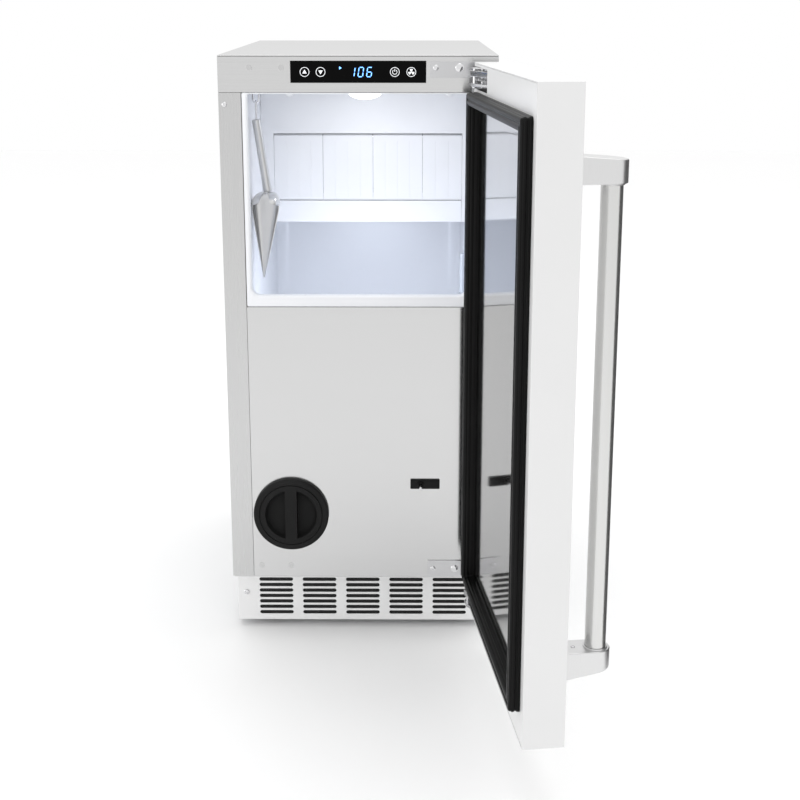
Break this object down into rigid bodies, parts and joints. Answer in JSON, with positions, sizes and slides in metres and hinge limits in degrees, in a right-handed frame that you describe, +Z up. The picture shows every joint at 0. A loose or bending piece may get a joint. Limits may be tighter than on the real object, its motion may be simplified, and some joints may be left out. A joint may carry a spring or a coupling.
{
  "type": "ice maker",
  "caption": "Built-in undercounter ice maker: insulated cabinet with an open side-hinged door, bar handle, ice bin, scoop, curtained evaporator, control strip, filter cap and toe-kick grille.",
  "frame": {"origin": "middle of the box around the whole object with its door open as stored, on the floor under its feet", "axes": "+Z up; -Y is the way the cabinet faces; +X is the viewer's right, the hinge side"},
  "size_m": [0.4978, 0.9348, 0.859],
  "materials": {
    "stainless": "brushed stainless",
    "polished_steel": "polished",
    "galvanised_steel": "matt zinc coat",
    "white_enamel": "satin white",
    "white_plastic": "satin white",
    "black_plastic": "fine matt texture",
    "black_enamel": "satin black",
    "black_rubber": "matt",
    "black_glass": "gloss, opaque black backed",
    "lamp_lens": "frosted diffuser, lit",
    "foam": "rigid foam",
    "aluminium": "satin",
    "copper": "satin copper"
  },
  "bodies": {
    "cabinet": {"top_panel": "stainless", "left_side_panel": "galvanised_steel", "right_side_panel": "galvanised_steel", "back_panel": "galvanised_steel", "base_pan": "galvanised_steel", "control_fascia": "stainless", "control_glass": "black_glass", "left_front_post": "stainless", "right_front_post": "stainless", "lower_front_panel": "stainless", "kick_grille": "white_enamel", "bin_liner": "white_plastic", "insulation": "foam", "lamp_lens": "lamp_lens", "bin_thermostat": "white_plastic", "evaporator_cover": "white_plastic", "evaporator_plate": "polished_steel", "distributor_tube": "white_plastic", "water_trough": "white_plastic", "curtain_rod": "polished_steel", "scoop_hanger": "polished_steel", "compressor": "black_enamel", "condenser": "aluminium", "fan_shroud": "black_plastic", "fan_motor": "black_enamel", "circulation_pump": "black_plastic", "filter_drier": "copper", "control_box": "galvanised_steel", "water_inlet_valve": "white_plastic", "drain_outlet": "black_plastic", "power_inlet": "black_plastic", "filter_socket": "black_plastic", "switch_plate": "black_plastic", "upper_hinge_bracket": "polished_steel", "lower_hinge_bracket": "polished_steel"},
    "door": {"door_skin": "white_enamel", "door_inner_panel": "white_enamel", "door_foam": "foam", "door_gasket": "black_rubber", "handle_bar": "stainless", "upper_handle_post": "stainless", "lower_handle_post": "stainless", "upper_hinge_block": "black_plastic", "lower_hinge_block": "black_plastic", "upper_hinge_pin": "polished_steel", "lower_hinge_pin": "polished_steel"},
    "curtain_1": {"curtain_flap_1": "white_plastic"},
    "curtain_2": {"curtain_flap_2": "white_plastic"},
    "curtain_3": {"curtain_flap_3": "white_plastic"},
    "curtain_4": {"curtain_flap_4": "white_plastic"},
    "fan": {"fan_blade": "black_plastic"},
    "filter": {"filter_cap": "black_plastic", "filter_cartridge": "white_plastic"},
    "power_switch": {"power_switch_lever": "polished_steel"},
    "scoop": {"scoop_bowl": "stainless", "scoop_handle": "stainless"},
    "front_left_foot": {"front_left_levelling_foot": "black_plastic"},
    "front_right_foot": {"front_right_levelling_foot": "black_plastic"},
    "rear_left_foot": {"rear_left_levelling_foot": "black_plastic"},
    "rear_right_foot": {"rear_right_levelling_foot": "black_plastic"}
  },
  "joints": [
    {"name": "door_swing", "type": "hinge", "parent": "cabinet", "child": "door", "pos_m": [0.12012, -0.09823, 0.45], "axis": [0, 0, 1], "range_deg": [-97.1, 12.9]},
    {"name": "curtain_1_swing", "type": "hinge", "parent": "cabinet", "child": "curtain_1", "pos_m": [-0.15998, 0.16362, 0.7245], "axis": [-1, 0, 0], "range_deg": [0, 50]},
    {"name": "curtain_2_swing", "type": "hinge", "parent": "cabinet", "child": "curtain_2", "pos_m": [-0.08438, 0.16362, 0.7245], "axis": [-1, 0, 0], "range_deg": [0, 50]},
    {"name": "curtain_3_swing", "type": "hinge", "parent": "cabinet", "child": "curtain_3", "pos_m": [-0.00823, 0.16362, 0.7245], "axis": [-1, 0, 0], "range_deg": [0, 50]},
    {"name": "curtain_4_swing", "type": "hinge", "parent": "cabinet", "child": "curtain_4", "pos_m": [0.05987, 0.16362, 0.7245], "axis": [-1, 0, 0], "range_deg": [0, 50]},
    {"name": "fan_spin", "type": "hinge", "parent": "cabinet", "child": "fan", "pos_m": [0.00112, 0.07037, 0.105], "axis": [0, 1, 0], "continuous": true},
    {"name": "filter_twist", "type": "hinge", "parent": "cabinet", "child": "filter", "pos_m": [-0.16118, -0.05963, 0.2028], "axis": [0, -1, 0], "range_deg": [0, 90]},
    {"name": "power_switch_toggle", "type": "hinge", "parent": "cabinet", "child": "power_switch", "pos_m": [0.02652, -0.06083, 0.2488], "axis": [-1, 0, 0], "range_deg": [0, 30]},
    {"name": "scoop_swing", "type": "hinge", "parent": "cabinet", "child": "scoop", "pos_m": [-0.20738, 0.02037, 0.789], "axis": [1, 0, 0], "range_deg": [-12, 15]},
    {"name": "front_left_foot_slide", "type": "slide", "parent": "cabinet", "child": "front_left_foot", "axis": [0, 0, -1], "range_m": [0, 0.015]},
    {"name": "front_right_foot_slide", "type": "slide", "parent": "cabinet", "child": "front_right_foot", "axis": [0, 0, -1], "range_m": [0, 0.015]},
    {"name": "rear_left_foot_slide", "type": "slide", "parent": "cabinet", "child": "rear_left_foot", "axis": [0, 0, -1], "range_m": [0, 0.015]},
    {"name": "rear_right_foot_slide", "type": "slide", "parent": "cabinet", "child": "rear_right_foot", "axis": [0, 0, -1], "range_m": [0, 0.015]}
  ]
}
